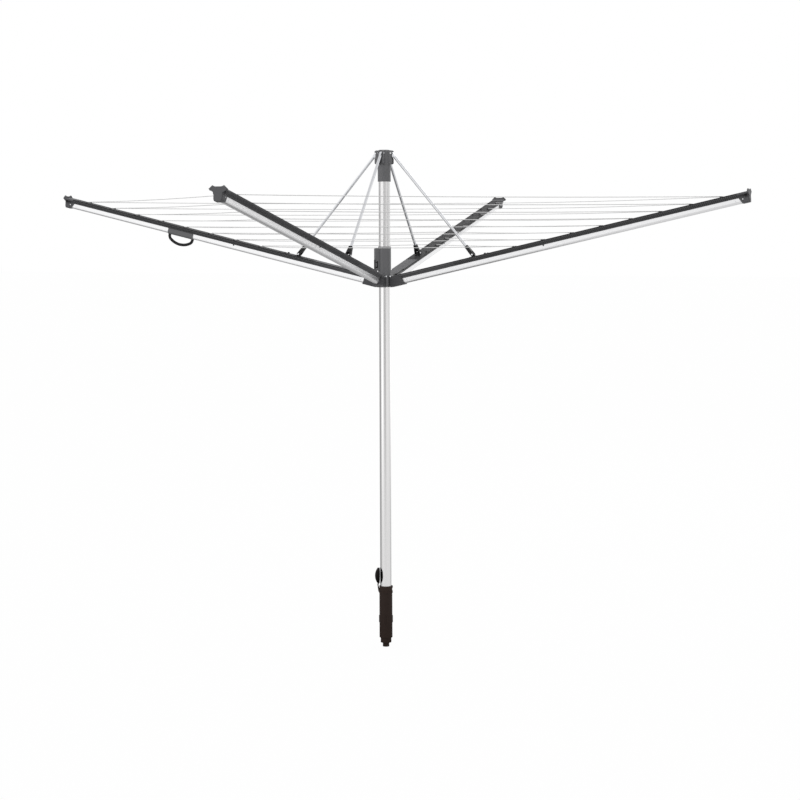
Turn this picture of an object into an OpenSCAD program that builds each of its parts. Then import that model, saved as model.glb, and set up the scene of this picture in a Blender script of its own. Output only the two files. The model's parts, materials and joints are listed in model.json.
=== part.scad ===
// Rotary clothesline with lines that draw back into its four arms. Millimetres, +Z up.
// The origin is on the mast's axis, at the rim of the ground socket.
// At rest the dryer is open: the arms point along +X (right), +Y (back), -X (left, with the
// handle) and -Y (front). Pushing the slider down the mast folds the arms upwards.

/* [Mast] */
// Outer diameter of the mast tube
mast_d = 50; // [46:0.5:52]
// Wall thickness of the mast tube
mast_wall = 1.8; // [1.2:0.1:3]
// Height of the mast tube's upper end above the socket's rim
mast_top = 1869; // [1840:1:1900]
// Depth of the mast tube's lower end below the socket's rim
mast_depth = 208; // [160:1:260]
// Length of the foot plug's spigot inside the mast tube
plug_spigot = 40; // [20:1:60]
// Thickness of the foot plug's flange
plug_flange = 3; // [2:0.5:5]

/* [Ground socket] */
// Wall of the socket around the mast
socket_wall = 3.6; // [2.5:0.1:6]
// Clearance around the mast in the socket
socket_gap = 0.4; // [0.3:0.05:1]
// Thickness of the socket's floor under the mast's foot
socket_floor = 21.7; // [12:0.1:40]
// Diameter of the stepped tip under the body
socket_step_d = 48; // [40:1:54]
// Length of the stepped tip
socket_step_h = 23; // [10:1:40]
// Diameter of the drain nozzle at the very bottom
nozzle_d = 29; // [20:1:36]
// Length of the drain nozzle
nozzle_h = 19; // [10:1:30]
// Diameter of the drain hole
drain_d = 10; // [6:1:16]
// How far the socket's ring and fins stand proud of its body
socket_rib = 2; // [1:0.25:4]
// Height of the ring below the rim
ring_h = 8; // [4:0.5:12]
// Depth of the ring's upper edge below the rim
ring_depth = 23; // [12:1:40]
// Height of each fin
fin_h = 32; // [10:1:60]
// Depth of the fins' upper ends below the rim
fin_depth = 134; // [60:1:180]
// Thickness of each fin
fin_w = 4; // [2:0.5:8]

/* [Lid] */
// Direction of the lid's hinge around the mast, in degrees
lid_azimuth = 198; // [190:1:260]
// Outer diameter of the lid
lid_d = 70; // [66:1:80]
// Wall thickness of the lid
lid_wall = 2.4; // [1.6:0.1:4]
// Height of the lid's straight skirt
lid_skirt = 8; // [5:0.5:12]
// Height of the lid's dome above its skirt
lid_rise = 12; // [6:0.5:14]
// Distance of the lid's hinge pin from the mast's axis
lid_hinge_r = 34.5; // [34.5:0.5:40]
// Height of the lid's hinge pin above the rim
lid_hinge_z = 7; // [6:0.5:9]
// Width of the strap that carries the lid
strap_w = 12; // [8:0.5:16]
// Diameter of the lid's hinge pin
lid_pin_d = 3; // [2:0.25:4]

/* [Head] */
// Outer diameter of the collar at the mast's top
collar_d = 57; // [56:0.5:60]
// Height of the collar
collar_h = 75; // [50:1:100]
// Height of the strut head above the collar
head_h = 63; // [56:1:70]
// Diameter over the head's ears
head_d = 84; // [82:1:96]
// Width over a pair of ears
ear_pair_w = 28; // [24:0.5:32]
// Distance of the upper strut pivots from the mast's axis
strut_top_r = 35.5; // [35:0.5:38]
// Height of the upper strut pivots above the collar
strut_top_h = 48; // [44:1:52]
// Diameter of the rivets through the ears
rivet_d = 6; // [4:0.5:7]

/* [Slider] */
// Outer diameter of the slider's sleeve
sleeve_d = 57; // [56.5:0.1:57.5]
// Height of the sleeve above the hub
sleeve_h = 113; // [100:1:130]
// Height of the hub that carries the arms
hub_h = 64; // [56:1:72]
// Height of the hub's lower face above the socket's rim
hub_z = 1334; // [1300:1:1360]
// Clearance between the slider's shells and the mast
slider_gap = 0.6; // [0.4:0.1:1]
// Height of each slider bush
bush_h = 12; // [8:1:20]
// Wall of each slider bush
bush_wall = 1.9; // [1.2:0.1:2.2]
// Direction of the latch housing around the mast, in degrees
latch_azimuth = 225; // [220:1:230]
// Distance of the latch housing's outer face from the mast's axis
latch_reach = 46.5; // [44:0.5:50]
// Width of the latch housing
latch_w = 16; // [14:0.5:16]
// Height of the latch lever
lever_h = 40; // [30:1:50]
// Height of the latch lever's pivot above the hub's upper face
lever_z = 35; // [30:1:60]

/* [Arm hinges] */
// Distance of each arm's hinge pin from the mast's axis
pin_r = 34.5; // [34.2:0.1:36]
// Height of the hinge pins above the hub's lower face
pin_h = 46; // [42:1:50]
// Diameter of the hinge pins
pin_d = 5; // [4:0.25:6]
// Slope of the open arms, in degrees
arm_rise = 12.87; // [8:0.1:18]
// Width of each hinge lug on the hub
lug_w = 13; // [10:0.5:16]

/* [Arms] */
// Length from the hinge pin to the outer face of the tip
arm_len = 1610; // [1560:1:1700]
// Width of the line cover's head
cover_w = 60; // [54:0.5:62]
// Height of the line cover
cover_h = 20.25; // [18:0.25:24]
// Wall thickness of the line cover
cover_wall = 2.5; // [2:0.25:3]
// Height of the cover's top above the hinge pin
cover_top = 0.75; // [0:0.25:2]
// Width of the cover's stem, which stands on the channel
stem_w = 29; // [28:0.5:34]
// Width of the aluminium channel
channel_w = 26; // [24:0.5:28]
// Height of the aluminium channel
channel_h = 24; // [20:0.5:30]
// Radius of the channel's lower edges
channel_r = 10; // [6:0.5:11]
// Wall thickness of the aluminium channel
channel_wall = 1.6; // [1.2:0.1:2.5]
// Distance from the hinge pin to the cover's inner end
cover_start = 44.5; // [40:0.5:60]
// Distance from the hinge pin to the channel's inner end, at its top
channel_start = 51; // [48:0.5:70]
// How much further out the channel's lower edge starts
channel_slant = 3.5; // [0:0.5:14]
// How much further out the channel's lower edge ends, at the tip
tip_slant = 12; // [0:0.5:14]
// Length of the tip, from the cover's end to its outer face
tip_len = 50; // [40:1:70]
// Width of the neck that carries the hinge eye
neck_w = 39; // [37:0.5:42]
// Width of the root shoe that holds the channel
shoe_w = 42; // [39:0.5:46]
// Wall of the root shoe under the channel
shoe_floor = 3; // [2:0.25:5]

/* [Lines] */
// Number of lines on each side of the dryer
line_count = 8; // [4:1:9]
// Distance in plan from the arm's outer end to the outermost line's guide
line_margin = 117; // [70:1:150]
// Distance between neighbouring lines
line_pitch = 127; // [80:1:130]
// Diameter of a line
line_d = 2.8; // [2:0.1:4]
// Distance of each line guide's outer face from the arm's middle
guide_out = 21; // [18:0.5:28]
// Length of each line guide
guide_len = 8; // [6:0.5:14]
// Width of each line guide
guide_w = 5; // [4:0.25:8]
// Height of each line guide above the cover
guide_h = 4.5; // [3.5:0.25:6]
// Length of the take-up carriage inside each arm
carriage_len = 60; // [40:1:90]
// Distance of the take-up carriage from the hinge pin when the lines are out
carriage_at = 900; // [800:1:1000]

/* [Struts] */
// Diameter of the strut tube
strut_d = 12.5; // [10:0.25:12.5]
// Wall of the strut tube
strut_wall = 1.2; // [0.8:0.1:2]
// Distance of the strut bracket's pin along the arm from the hinge pin
bracket_at = 388.3; // [380:0.1:396]
// Height of the strut bracket's pin above the arm's cover
bracket_h = 10.05; // [10.05:0.05:11.5]
// Width of the fork at the strut's foot
fork_w = 25; // [22:0.5:26]
// Length of the fork at the strut's foot
fork_len = 48; // [44:1:60]
// Thickness of the fork at the strut's foot
fork_t = 14.5; // [14.5:0.25:14.75]
// Width of the bracket's lug between the fork's cheeks
foot_w = 12; // [8:0.5:13]
// Diameter of the bracket's pin
foot_pin_d = 6; // [4:0.25:7]

/* [Handle] */
// Distance of the handle's centre from the left arm's hinge pin
handle_at = 985; // [880:1:1010]
// Length of the handle's bracket
handle_len = 130; // [116:1:150]
// Wall of the handle's bracket around the channel
handle_wall = 2.5; // [1.5:0.1:4]
// Diameter of the handle's bar
bar_d = 11; // [8:0.25:12]
// Radius of the bar's two end bends
bend_r = 22; // [16:0.5:30]
// Radius of the bar's long middle bend
bow_r = 90; // [80:1:140]

/* [Hidden] */
SIDES = ["right", "back", "left", "front"];
ARM_PARTS = ["arm_channel", "arm_cover", "arm_root", "arm_tip", "strut_bracket",
             "bracket_pin", "lines", "line_carriage", "strut_tube", "strut_fork"];

$fn = 64;
PLASTIC = "#5a5a5c";
BLACK = "#262626";
SOCKET = "#2a2524";
ALUMINIUM = "#d6d7d9";
STEEL = "#c2c4c6";
LINE = "#e9e9e6";

// Clearances
seat = 0.02;       // a pin pressed into its seat
run = 0.05;        // a pin that turns in its hole
part_gap = 0.3;    // pieces of two bodies that pass each other
slot_gap = 0.4;    // each side of a lug in its slot
eps = 0.01;        // overlap that joins shapes of one piece
far = 4000;        // longer than the whole dryer

mast_r = mast_d / 2;
mast_bore_r = mast_r - mast_wall;
floor_gap = 0.3;

// Ground socket
socket_bore_r = mast_r + socket_gap;
socket_r = socket_bore_r + socket_wall;
socket_floor_z = -mast_depth - plug_flange - floor_gap;
socket_depth = socket_floor - socket_floor_z;
rib_r = socket_r + socket_rib;
strap_t = 4;
strap_foot_z = -ring_depth - ring_h / 2;
strap_shoulder_z = -ring_depth + 4;

// Lid, standing open against the mast
lid_r = lid_d / 2;
knuckle_r = lid_pin_d / 2 + 1.8;
lid_base_r = mast_r + 3.3;
lid_centre_z = lid_hinge_z + knuckle_r + 0.4 + lid_r;
dome_r = (lid_r * lid_r + lid_rise * lid_rise) / (2 * lid_rise);

// Head
collar_r = collar_d / 2;
collar_z = mast_top - collar_h;
head_r = head_d / 2;
strut_top_z = mast_top + strut_top_h;
strut_eye_r = strut_d / 2 + 0.5;
head_core_r = strut_top_r - strut_eye_r - 0.7;
ear_slot_w = strut_d + 1.8;
rivet_head_r = rivet_d / 2 + 0.9;
rivet_head_h = 1.6;
spigot_h = 30;

// Slider
sleeve_r = sleeve_d / 2;
slider_bore_r = mast_r + slider_gap;
hub_top_z = hub_z + hub_h;
sleeve_top_z = hub_top_z + sleeve_h;
bush_bore_r = mast_r + run;
bush_r = bush_bore_r + bush_wall;
pin_z = hub_z + pin_h;
pin_head_r = pin_d / 2 + 1.5;
pin_head_h = 1.6;
lug_r = 5;
housing_base_z = hub_top_z + 7;
housing_top_z = sleeve_top_z - 7;
pocket_margin = 1.7;
pocket_floor_r = latch_reach - 13.5;
lever_w = latch_w - 2 * pocket_margin - 2 * part_gap;
lever_pivot_z = hub_top_z + lever_z;
lever_pivot_r = pocket_floor_r + 5;
lever_back_r = pocket_floor_r + 7;
lever_proud = 1.5;
lever_boss_r = 4.5;
latch_pin_r = 1.5;
pocket_slack = 1.8;
spring_r = 3;
spring_wire = 1;
spring_z = lever_pivot_z + lever_h / 3;

// Arm section: half widths across the arm, heights measured from the hinge pin
cover_half = cover_w / 2;
stem_half = stem_w / 2;
channel_half = channel_w / 2;
neck_half = neck_w / 2;
shoe_half = shoe_w / 2;
seam_v = cover_top - cover_h;
channel_v = seam_v - channel_h;
shoe_v = channel_v - shoe_floor;
tip_v = channel_v - 1.5;
cover_end = arm_len - tip_len;
eye_r = 5;
heel = 9;
head_t = 8;
head_fall = 5;
// near the hub the head's corners are cut off, so that the latch housing fits beside folded arms
relief_half = 22;
relief_end = housing_top_z - pin_z + 6;
channel_lip = 4;
lug_slot_half = lug_w / 2 + slot_gap;
tip_plate = 6;
tip_body_half = 17;
wing_half = 38;
horn_half = 23;
horn_v = 10;
// the end plate leans in at its foot, so that it hangs plumb
plate_lean = 8;
// Station of the end plate's middle at height v
function plate_x(v) = arm_len - (horn_v - v) * tan(plate_lean) - tip_plate / 2;
barrel_at = arm_len - 17;
barrel_v = seam_v + 6;
barrel_r = 7.5;
barrel_half = 23;
// Points on an arc, without its last point
function arc(centre, radius, from, to, steps) = [for (i = [0:steps - 1])
    centre + radius * [cos(from + (to - from) * i / steps), sin(from + (to - from) * i / steps)]];
// The channel's lower right edge, from under it to its side, at an inset from its outside
function channel_edge(inset) = concat(
    arc([channel_half - channel_r, channel_v + channel_r], channel_r - inset, -90, 0, 6),
    [[channel_half - inset, channel_v + channel_r]]);
function backwards(points) = [for (i = [len(points) - 1:-1:0]) points[i]];
function mirrored(half) = concat(half, [for (p = backwards(half)) [-p.x, p.y]]);
arm_cos = cos(arm_rise);
arm_sin = sin(arm_rise);

// Lines
line_v = cover_top + guide_h * 0.75;
line_outer_r = pin_r + arm_len * arm_cos - line_margin;
function line_radius(k) = line_outer_r - (line_count - 1 - k) * line_pitch;
// Distance along the arm of the point of the line level that lies at radius r
function arm_u(r) = (r - pin_r + line_v * arm_sin) / arm_cos;
function line_z(r) = pin_z + arm_u(r) * arm_sin + line_v * arm_cos;
mid_gap = 0.25;
// Length of half a line: from its guide to the middle between two neighbouring arms
function half_line(k) = (line_radius(k) - guide_out) / sqrt(2) - mid_gap;

// Struts
bracket_v = cover_top + bracket_h;
foot_r = pin_r + bracket_at * arm_cos - bracket_v * arm_sin;
foot_z = pin_z + bracket_at * arm_sin + bracket_v * arm_cos;
strut_len = norm([foot_r - strut_top_r, strut_top_z - foot_z]);
strut_angle = atan2(strut_top_z - foot_z, strut_top_r - foot_r);
fork_slot_len = 15;
foot_back = 8;
foot_front = 12;
foot_plate_t = 2;
foot_plate_half = 11;
fork_neck_r = strut_d / 2 + 1.5;

// Handle
handle_half = channel_half + handle_wall;
handle_v = channel_v - handle_wall;
bar_r = bar_d / 2;
bar_half = handle_len / 2 - bar_r;
bar_drop = 3;
bow_angle = acos((bar_half - bend_r) / (bow_r - bend_r));
bow_v = (bow_r - bend_r) * sin(bow_angle);
// Edge of the handle's loop at an offset from its centre line, from end to end
function loop_edge(off) = concat(
    [[bar_half + off, 0]],
    arc([bar_half - bend_r, -bar_drop], bend_r + off, 0, -bow_angle, 5),
    arc([0, bow_v - bar_drop], bow_r + off, -bow_angle, bow_angle - 180, 12),
    arc([bend_r - bar_half, -bar_drop], bend_r + off, bow_angle - 180, -180, 5),
    [[-bar_half - off, -bar_drop], [-bar_half - off, 0]]);

// ---------------------------------------------------------------- placing helpers

// Arm frame: x runs out along the arm from its hinge pin, y across it, z up out of its cover
module on_arm(side)
    rotate([0, 0, 90 * side]) translate([pin_r, 0, pin_z]) rotate([0, -arm_rise, 0]) children();

// Strut frame: x runs from the bracket's pin to the upper pivot
module on_strut(side)
    rotate([0, 0, 90 * side]) translate([foot_r, 0, foot_z]) rotate([0, -strut_angle, 0]) children();

// An outline seen from the side, as (along, up), carried across from y0 to y1
module side_plate(outline, y0, y1)
    translate([0, y1, 0]) rotate([90, 0, 0]) linear_extrude(y1 - y0) polygon(outline);

// A section seen along the arm, as (across, up), carried from x0 to x1
module run_along(section, x0, x1)
    translate([x0, 0, 0]) rotate([90, 0, 90]) linear_extrude(x1 - x0) polygon(section);

// A round bar across the arm
module cross_bar(x, z, r, half)
    translate([x, 0, z]) rotate([90, 0, 0]) cylinder(r = r, h = 2 * half, center = true);

module ring(r_out, r_in, z0, z1)
    translate([0, 0, z0]) difference() {
        cylinder(r = r_out, h = z1 - z0);
        translate([0, 0, -1]) cylinder(r = r_in, h = z1 - z0 + 2);
    }

// ---------------------------------------------------------------- ground socket and lid

module ground_socket() color(SOCKET) difference() {
    union() {
        translate([0, 0, -socket_depth]) cylinder(r = socket_r, h = socket_depth);
        translate([0, 0, -ring_depth - ring_h]) cylinder(r = rib_r, h = ring_h);
        translate([0, 0, -socket_depth - socket_step_h])
            cylinder(d = socket_step_d, h = socket_step_h + eps);
        translate([0, 0, -socket_depth - socket_step_h - nozzle_h])
            cylinder(d = nozzle_d, h = nozzle_h + eps);
        for (quarter = [0:3]) rotate([0, 0, lid_azimuth + 90 * quarter])
            translate([socket_r - 1, -fin_w / 2, -fin_depth - fin_h])
                cube([socket_rib + 1, fin_w, fin_h]);
        // rim lugs, and the strap that reaches up to the lid's pin
        rotate([0, 0, lid_azimuth + 180]) translate([socket_r - 1, -5, -9])
            cube([socket_rib + 1, 10, 9]);
        rotate([0, 0, lid_azimuth]) difference() {
            union() {
                side_plate([[socket_r - 1, strap_foot_z], [socket_r - 1, strap_shoulder_z],
                            [lid_hinge_r, lid_hinge_z],
                            [lid_hinge_r + 3, lid_hinge_z - 2],
                            [socket_r + strap_t, strap_foot_z]],
                           -strap_w / 2, strap_w / 2);
                cross_bar(lid_hinge_r, lid_hinge_z, knuckle_r, strap_w / 2);
            }
            // room for the lid's own knuckle in the middle of the strap
            translate([lid_hinge_r - 8, -strap_w / 6 - part_gap, lid_hinge_z - knuckle_r - 0.6])
                cube([16, strap_w / 3 + 2 * part_gap, 12]);
            cross_bar(lid_hinge_r, lid_hinge_z, lid_pin_d / 2 + seat, strap_w);
        }
    }
    translate([0, 0, socket_floor_z]) cylinder(r = socket_bore_r, h = far);
    translate([0, 0, -far / 2]) cylinder(d = drain_d, h = far / 2);
}

// The lid stands on edge: its axis points away from the mast
module lid() color(SOCKET) rotate([0, 0, lid_azimuth]) difference() {
    union() {
        translate([lid_base_r, 0, lid_centre_z]) rotate([0, 90, 0]) difference() {
            union() {
                cylinder(r = lid_r, h = lid_skirt);
                dome(0);
            }
            translate([0, 0, -1]) cylinder(r = lid_r - lid_wall, h = lid_skirt + 1 + eps);
            dome(lid_wall);
        }
        // knuckle on the skirt
        cross_bar(lid_hinge_r, lid_hinge_z, knuckle_r, strap_w / 6);
        translate([lid_hinge_r - 1.6, -strap_w / 6, lid_hinge_z])
            cube([3.2, strap_w / 3, knuckle_r + 1.5]);
    }
    cross_bar(lid_hinge_r, lid_hinge_z, lid_pin_d / 2 + run, strap_w);
}

// Spherical cap above the skirt, drawn in by wall on the inside
module dome(wall) intersection() {
    translate([0, 0, lid_skirt + lid_rise - dome_r]) sphere(r = dome_r - wall, $fn = 96);
    translate([0, 0, lid_skirt - eps]) cylinder(r = lid_r - wall, h = lid_rise + 1);
}

module lid_pin() color(STEEL) rotate([0, 0, lid_azimuth])
    cross_bar(lid_hinge_r, lid_hinge_z, lid_pin_d / 2, strap_w / 2);

// ---------------------------------------------------------------- mast and head

module mast_tube() color(ALUMINIUM) ring(mast_r, mast_bore_r, -mast_depth, mast_top);

module foot_plug() color(BLACK) union() {
    translate([0, 0, -mast_depth - plug_flange]) cylinder(r = mast_r, h = plug_flange);
    ring(mast_bore_r, mast_bore_r - 3, -mast_depth - eps, -mast_depth + plug_spigot);
}

module top_collar() color(PLASTIC) difference() {
    translate([0, 0, collar_z]) rotate_extrude() polygon([
        [0, 0], [collar_r - 1, 0], [collar_r, 1], [collar_r, collar_h], [0, collar_h]]);
    translate([0, 0, collar_z - 1]) cylinder(r = mast_r + seat, h = collar_h + 2);
}

// Outline of an ear, as (distance from the axis, height above the collar)
ear_outline = [[0, 0], [head_r - 5, 0], [head_r, 4.5], [head_r, 24], [head_r - 3, 28],
               [head_r - 3.8, 43], [head_r, 51], [head_r, 57], [head_r - 6, 60.5], [0, 61]];

module strut_head() color(PLASTIC) translate([0, 0, mast_top]) difference() {
    union() {
        for (turn = [0, 90]) rotate([0, 0, turn]) intersection() {
            translate([-head_r, -ear_pair_w / 2, 0]) cube([head_d, ear_pair_w, head_h]);
            rotate_extrude() polygon(ear_outline);
        }
        cylinder(r = head_core_r, h = head_h - 4);
        translate([0, 0, head_h - 4]) cylinder(r1 = head_core_r, r2 = head_core_r - 6, h = 4);
        translate([0, 0, -spigot_h]) cylinder(r = mast_bore_r - seat, h = spigot_h + eps);
    }
    for (side = [0:3]) rotate([0, 0, 90 * side]) {
        translate([head_core_r, -ear_slot_w / 2, -1]) cube([head_r, ear_slot_w, head_h + 2]);
        cross_bar(strut_top_r, strut_top_h, rivet_d / 2 + seat, ear_pair_w);
    }
}

module head_rivets() color(STEEL) for (side = [0:3]) rotate([0, 0, 90 * side])
    for (half = [-1, 1]) translate([strut_top_r, half * ear_slot_w / 2, strut_top_z])
        rotate([-90 * half, 0, 0]) {
            translate([0, 0, part_gap]) cylinder(d = rivet_d, h = (ear_pair_w - ear_slot_w) / 2);
            translate([0, 0, (ear_pair_w - ear_slot_w) / 2])
                cylinder(r1 = rivet_head_r, r2 = rivet_head_r - 1, h = rivet_head_h);
        }

// ---------------------------------------------------------------- slider and latch

module slider_sleeve() color(PLASTIC) difference() {
    union() {
        translate([0, 0, hub_top_z]) cylinder(r = sleeve_r, h = sleeve_h - 1.5);
        translate([0, 0, sleeve_top_z - 1.5])
            cylinder(r1 = sleeve_r, r2 = sleeve_r - 1.5, h = 1.5);
        rotate([0, 0, latch_azimuth]) side_plate(
            [[mast_r, housing_base_z], [latch_reach - 5, housing_base_z],
             [latch_reach, housing_base_z + 5], [latch_reach, housing_top_z - 3],
             [latch_reach - 3, housing_top_z], [mast_r, housing_top_z]],
            -latch_w / 2, latch_w / 2);
    }
    translate([0, 0, hub_top_z - 1]) cylinder(r = slider_bore_r, h = sleeve_h + 2);
    translate([0, 0, sleeve_top_z - bush_h]) cylinder(r = bush_r, h = bush_h + 1);
    rotate([0, 0, latch_azimuth]) {
        translate([pocket_floor_r, -latch_w / 2 + pocket_margin,
                   lever_pivot_z - lever_h / 2 - pocket_slack])
            cube([20, latch_w - 2 * pocket_margin, lever_h + 2 * pocket_slack]);
        cross_bar(lever_pivot_r, lever_pivot_z, latch_pin_r + seat, latch_w);
    }
}

module slider_hub() color(PLASTIC) difference() {
    union() {
        translate([0, 0, hub_z]) cylinder(r1 = sleeve_r - 1.5, r2 = sleeve_r, h = 1.5);
        translate([0, 0, hub_z + 1.5]) cylinder(r = sleeve_r, h = hub_h - 1.5);
        for (side = [0:3]) rotate([0, 0, 90 * side]) {
            cross_bar(pin_r, pin_z, lug_r, lug_w / 2);
            translate([mast_r + 1, -lug_w / 2, pin_z - lug_r])
                cube([pin_r - mast_r - 1, lug_w, 2 * lug_r]);
        }
    }
    translate([0, 0, hub_z - 1]) cylinder(r = slider_bore_r, h = hub_h + 2);
    translate([0, 0, hub_z - 1]) cylinder(r = bush_r, h = bush_h + 1);
    for (side = [0:3]) rotate([0, 0, 90 * side])
        cross_bar(pin_r, pin_z, pin_d / 2 + seat, lug_w);
}

module slider_bushes() color(BLACK) {
    ring(bush_r, bush_bore_r, hub_z, hub_z + bush_h);
    ring(bush_r, bush_bore_r, sleeve_top_z - bush_h, sleeve_top_z);
}

module arm_hinge_pins() color(STEEL) for (side = [0:3]) rotate([0, 0, 90 * side]) {
    cross_bar(pin_r, pin_z, pin_d / 2, neck_half + part_gap);
    for (half = [-1, 1]) translate([pin_r, half * (neck_half + part_gap), pin_z])
        rotate([-90 * half, 0, 0])
            cylinder(r1 = pin_head_r, r2 = pin_head_r - 0.8, h = pin_head_h);
}

module latch_lever() color(BLACK) rotate([0, 0, latch_azimuth]) difference() {
    union() {
        side_plate([[lever_back_r, lever_pivot_z - lever_h / 2],
                    [latch_reach, lever_pivot_z - lever_h / 2],
                    [latch_reach + lever_proud, lever_pivot_z - lever_h / 2 + 2],
                    [latch_reach + lever_proud, lever_pivot_z + lever_h / 2 - 2],
                    [latch_reach, lever_pivot_z + lever_h / 2],
                    [lever_back_r, lever_pivot_z + lever_h / 2]], -lever_w / 2, lever_w / 2);
        cross_bar(lever_pivot_r, lever_pivot_z, lever_boss_r, lever_w / 2);
    }
    cross_bar(lever_pivot_r, lever_pivot_z, latch_pin_r + run, lever_w);
}

module latch_pin() color(STEEL) rotate([0, 0, latch_azimuth])
    cross_bar(lever_pivot_r, lever_pivot_z, latch_pin_r, latch_w / 2);

module latch_spring() color(STEEL) rotate([0, 0, latch_azimuth])
    translate([pocket_floor_r, 0, spring_z]) rotate([0, 90, 0])
        ring(spring_r, spring_r - spring_wire, 0, lever_back_r - pocket_floor_r - part_gap);

// ---------------------------------------------------------------- arms

// The side view of a profile from top height z0 down to z1, with both ends slanted
module between_ends(in0, in1, out0, out1, z0, z1) intersection() {
    children();
    side_plate([[in0, z0], [in1, z1], [out1, z1], [out0, z0]], -far / 4, far / 4);
}

module arm_channel(side) color(ALUMINIUM) on_arm(side)
    between_ends(channel_start, channel_start + channel_slant,
                 cover_end, cover_end + tip_slant, seam_v, channel_v)
        run_along(mirrored(concat(
            channel_edge(channel_wall),
            [[channel_half - channel_wall, seam_v - channel_wall],
             [channel_half - channel_lip, seam_v - channel_wall],
             [channel_half - channel_lip, seam_v],
             [channel_half, seam_v]],
            backwards(channel_edge(0)))), 0, arm_len);

// A wide head on a narrow stem: its outside, from the middle of the top to the foot
function cover_outside(half) = [
    [half - 3, cover_top], [half - 0.8, cover_top - 0.8], [half, cover_top - 3],
    [half, cover_top - head_t + 1.5], [half - 1.5, cover_top - head_t],
    [stem_half + 2, cover_top - head_t - head_fall], [stem_half, cover_top - head_t - head_fall - 2]];

module arm_cover(side) color(PLASTIC) on_arm(side) {
    difference() {
        between_ends(cover_start, channel_start, cover_end, cover_end, cover_top, seam_v)
            run_along(mirrored(concat(cover_outside(cover_half), [
                [stem_half, seam_v],
                [stem_half - cover_wall, seam_v],
                [stem_half - cover_wall, cover_top - head_t - head_fall + cover_wall],
                [relief_half, cover_top - head_t + cover_wall],
                [relief_half, cover_top - cover_wall]])), 0, arm_len);
        for (half = [0, 1]) mirror([0, half, 0])
            run_along([[relief_half, cover_top + 1], [cover_half + 1, cover_top + 1],
                       [cover_half + 1, cover_top - (cover_half - relief_half)]],
                      cover_start - 1, relief_end);
    }
    // one spare guide inside the first line's
    for (k = [-1:line_count - 1], half = [-1, 1]) translate([arm_u(line_radius(k)), 0, cover_top])
        side_plate([[-guide_len / 2, -1], [-guide_len / 2, guide_h - 1.5],
                    [1.5 - guide_len / 2, guide_h], [guide_len / 2 - 1.5, guide_h],
                    [guide_len / 2, guide_h - 1.5], [guide_len / 2, -1]],
                   half < 0 ? -guide_out : guide_out - guide_w,
                   half < 0 ? guide_w - guide_out : guide_out);
}

// Block that fills the channel's inside between two stations, less a gap all round
module in_channel(x0, x1, gap)
    run_along(mirrored(concat(channel_edge(channel_wall + gap),
                              [[channel_half - channel_wall - gap, seam_v - channel_wall - gap]])),
              x0, x1);

module arm_root(side) color(PLASTIC) on_arm(side) difference() {
    union() {
        // shoe around the channel's level
        side_plate([[-heel, shoe_v], [-eye_r - 1.4, seam_v], [channel_start, seam_v],
                    [channel_start + channel_slant, channel_v],
                    [channel_start + channel_slant + 1, shoe_v]], -shoe_half, shoe_half);
        // neck that carries the hinge eye
        side_plate([[-eye_r - 1.4, seam_v - eps], [-eye_r, 0], [0, cover_top],
                    [cover_start, cover_top], [channel_start, seam_v - eps]],
                   -neck_half, neck_half);
        cross_bar(0, 0, eye_r, neck_half);
        in_channel(channel_start - 10, channel_start + 40, seat);
    }
    // slot for the hub's lug
    translate([-12, -lug_slot_half, -lug_r - 2.5]) cube([20, 2 * lug_slot_half, 20]);
    cross_bar(0, 0, pin_d / 2 + run, neck_half + 1);
}

module arm_tip(side) color(PLASTIC) on_arm(side) difference() {
    union() {
        run_along(mirrored(concat(cover_outside(cover_half), [[stem_half, seam_v]])),
                  cover_end, plate_x(seam_v) + 1.5);
        side_plate([[cover_end, seam_v + eps], [cover_end, seam_v],
                    [cover_end + tip_slant, channel_v],
                    [cover_end + tip_slant + 1, tip_v],
                    [plate_x(tip_v), tip_v], [plate_x(seam_v + eps), seam_v + eps]],
                   -tip_body_half, tip_body_half);
        // raised cheeks on both sides
        side_plate([[plate_x(seam_v + 3), seam_v + 3], [arm_len - 27, seam_v + 3],
                    [arm_len - 31, seam_v - 1], [arm_len - 31, channel_v + 7],
                    [arm_len - 27, channel_v + 3], [plate_x(channel_v + 3), channel_v + 3]],
                   -tip_body_half - 2, tip_body_half + 2);
        // end plate with horns, wings and stem
        translate([arm_len, 0, horn_v]) rotate([0, plate_lean, 0]) translate([0, 0, -horn_v])
            run_along(mirrored([[horn_half - 11, horn_v - 4.4], [horn_half - 4, horn_v - 2.6],
                                [horn_half, horn_v], [wing_half, -3], [horn_half, -13],
                                [tip_body_half, -16], [tip_body_half - 1, channel_v + 6],
                                [tip_body_half - 6, tip_v - 1]]), -tip_plate, 0);
        // gussets behind the wings
        for (half = [0, 1]) mirror([0, half, 0]) translate([0, 0, -7]) linear_extrude(5)
            polygon([[arm_len - 36, cover_half - 1], [arm_len - 5, cover_half - 1],
                     [arm_len - 5, wing_half - 2], [arm_len - 7, wing_half - 2]]);
        // barrel that a cover cord ties to
        cross_bar(barrel_at, barrel_v, barrel_r, barrel_half);
        in_channel(cover_end - 30, cover_end + 12, seat);
    }
    cross_bar(barrel_at, barrel_v, 3, wing_half);
}

module strut_bracket(side) color(BLACK) on_arm(side) difference() {
    union() {
        side_plate([[bracket_at - foot_back, cover_top], [bracket_at - lug_r, bracket_v],
                    [bracket_at + 3, bracket_v + 4], [bracket_at + foot_front, cover_top]],
                   -foot_w / 2, foot_w / 2);
        side_plate([[bracket_at - foot_back - 8, cover_top],
                    [bracket_at - foot_back - 7, cover_top + foot_plate_t],
                    [bracket_at + foot_front + 7, cover_top + foot_plate_t],
                    [bracket_at + foot_front + 8, cover_top]], -foot_plate_half, foot_plate_half);
        cross_bar(bracket_at, bracket_v, lug_r, foot_w / 2);
    }
    cross_bar(bracket_at, bracket_v, foot_pin_d / 2 + seat, foot_w);
}

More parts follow.
